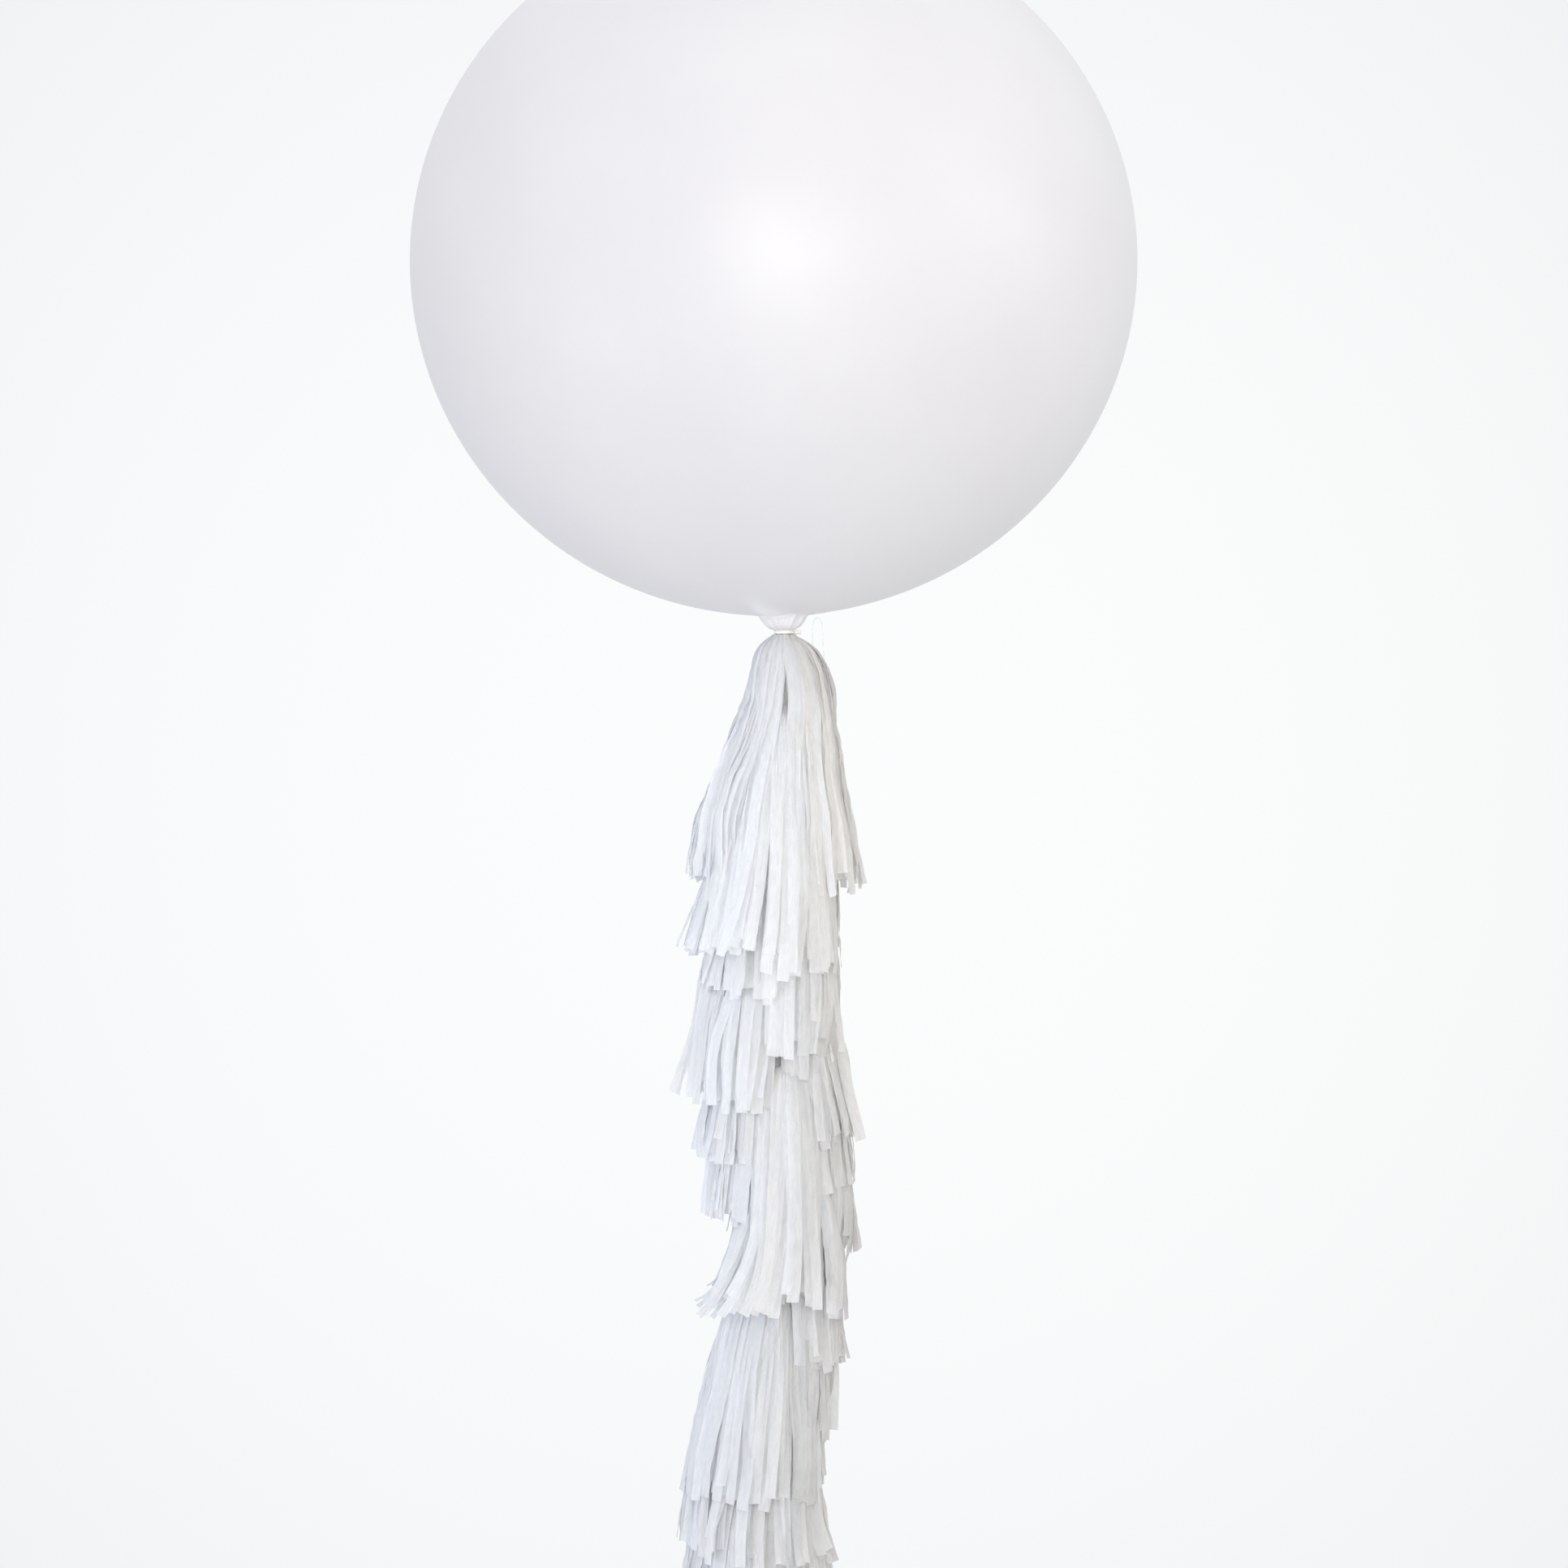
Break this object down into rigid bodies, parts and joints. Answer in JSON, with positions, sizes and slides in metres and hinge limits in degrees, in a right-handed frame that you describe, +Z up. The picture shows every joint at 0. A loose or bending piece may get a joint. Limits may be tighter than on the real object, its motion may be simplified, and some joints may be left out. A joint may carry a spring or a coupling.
{
  "type": "latex balloon with tassel tail",
  "caption": "Giant round white latex balloon, knotted at the neck, with a long hanging tail of layered white tissue-paper tassels on a line.",
  "frame": {"origin": "the middle of the gathered neck at the tie, where the tail line is looped", "axes": "+Z up, from the tie through the globe; -Y is the front; the tail hangs along -Z"},
  "size_m": [0.9143, 0.914, 2.3897],
  "materials": {
    "latex_skin": "satin",
    "tie_band": "satin",
    "cotton_line": "matte",
    "clear_line": "gloss",
    "tissue_twist": "matte",
    "tissue_strips": "matte"
  },
  "bodies": {
    "balloon": {"balloon_envelope": "latex_skin", "neck_knot": "latex_skin", "mouth_tube": "latex_skin", "lip_bead": "latex_skin", "tie_band": "tie_band", "tie_tab": "tie_band"},
    "tail_loop": {"neck_loop": "cotton_line", "tassel_01_head": "tissue_twist", "line_sling": "cotton_line", "sling_knot": "cotton_line", "spare_strand": "clear_line"},
    "tail_1": {"tail_line_1": "cotton_line", "line_knots_1": "cotton_line", "tassel_01_fringe": "tissue_strips", "tassel_02_head": "tissue_twist", "tassel_02_fringe": "tissue_strips", "tassel_03_head": "tissue_twist", "tassel_03_fringe": "tissue_strips", "tassel_04_head": "tissue_twist", "tassel_04_fringe": "tissue_strips", "tassel_05_head": "tissue_twist", "tassel_05_fringe": "tissue_strips"},
    "tail_2": {"tail_line_2": "cotton_line", "line_knots_2": "cotton_line", "tassel_06_head": "tissue_twist", "tassel_06_fringe": "tissue_strips", "tassel_07_head": "tissue_twist", "tassel_07_fringe": "tissue_strips", "tassel_08_head": "tissue_twist", "tassel_08_fringe": "tissue_strips", "tassel_09_head": "tissue_twist", "tassel_09_fringe": "tissue_strips"},
    "tail_3": {"tail_line_3": "cotton_line", "line_knots_3": "cotton_line", "tassel_10_head": "tissue_twist", "tassel_10_fringe": "tissue_strips", "tassel_11_head": "tissue_twist", "tassel_11_fringe": "tissue_strips", "tassel_12_head": "tissue_twist", "tassel_12_fringe": "tissue_strips", "tassel_13_head": "tissue_twist", "tassel_13_fringe": "tissue_strips"},
    "tail_4": {"tail_line_4": "cotton_line", "line_knots_4": "cotton_line", "tassel_14_head": "tissue_twist", "tassel_14_fringe": "tissue_strips", "tassel_15_head": "tissue_twist", "tassel_15_fringe": "tissue_strips", "tassel_16_head": "tissue_twist", "tassel_16_fringe": "tissue_strips", "tail_end_loop": "cotton_line"}
  },
  "joints": [
    {"name": "tail_turn", "type": "hinge", "parent": "balloon", "child": "tail_loop", "pos_m": [0, 0, -0.0062], "axis": [0, 0, 1], "continuous": true},
    {"name": "tail_swing", "type": "hinge", "parent": "tail_loop", "child": "tail_1", "pos_m": [0, 0, -0.052], "axis": [1, 0, 0], "range_deg": [-35, 35], "deforming": ["tassel_01_fringe"]},
    {"name": "tail_bend_1", "type": "hinge", "parent": "tail_1", "child": "tail_2", "pos_m": [0, 0, -0.39], "axis": [1, 0, 0], "range_deg": [-20, 20], "deforming": ["tassel_02_fringe", "tassel_03_fringe", "tassel_04_fringe", "tassel_05_fringe"]},
    {"name": "tail_bend_2", "type": "hinge", "parent": "tail_2", "child": "tail_3", "pos_m": [0, 0, -0.694], "axis": [1, 0, 0], "range_deg": [-20, 20], "deforming": ["tassel_06_fringe", "tassel_07_fringe", "tassel_08_fringe", "tassel_09_fringe"]},
    {"name": "tail_bend_3", "type": "hinge", "parent": "tail_3", "child": "tail_4", "pos_m": [0, 0, -0.998], "axis": [1, 0, 0], "range_deg": [-20, 20], "deforming": ["tassel_10_fringe", "tassel_11_fringe", "tassel_12_fringe", "tassel_13_fringe"]}
  ]
}
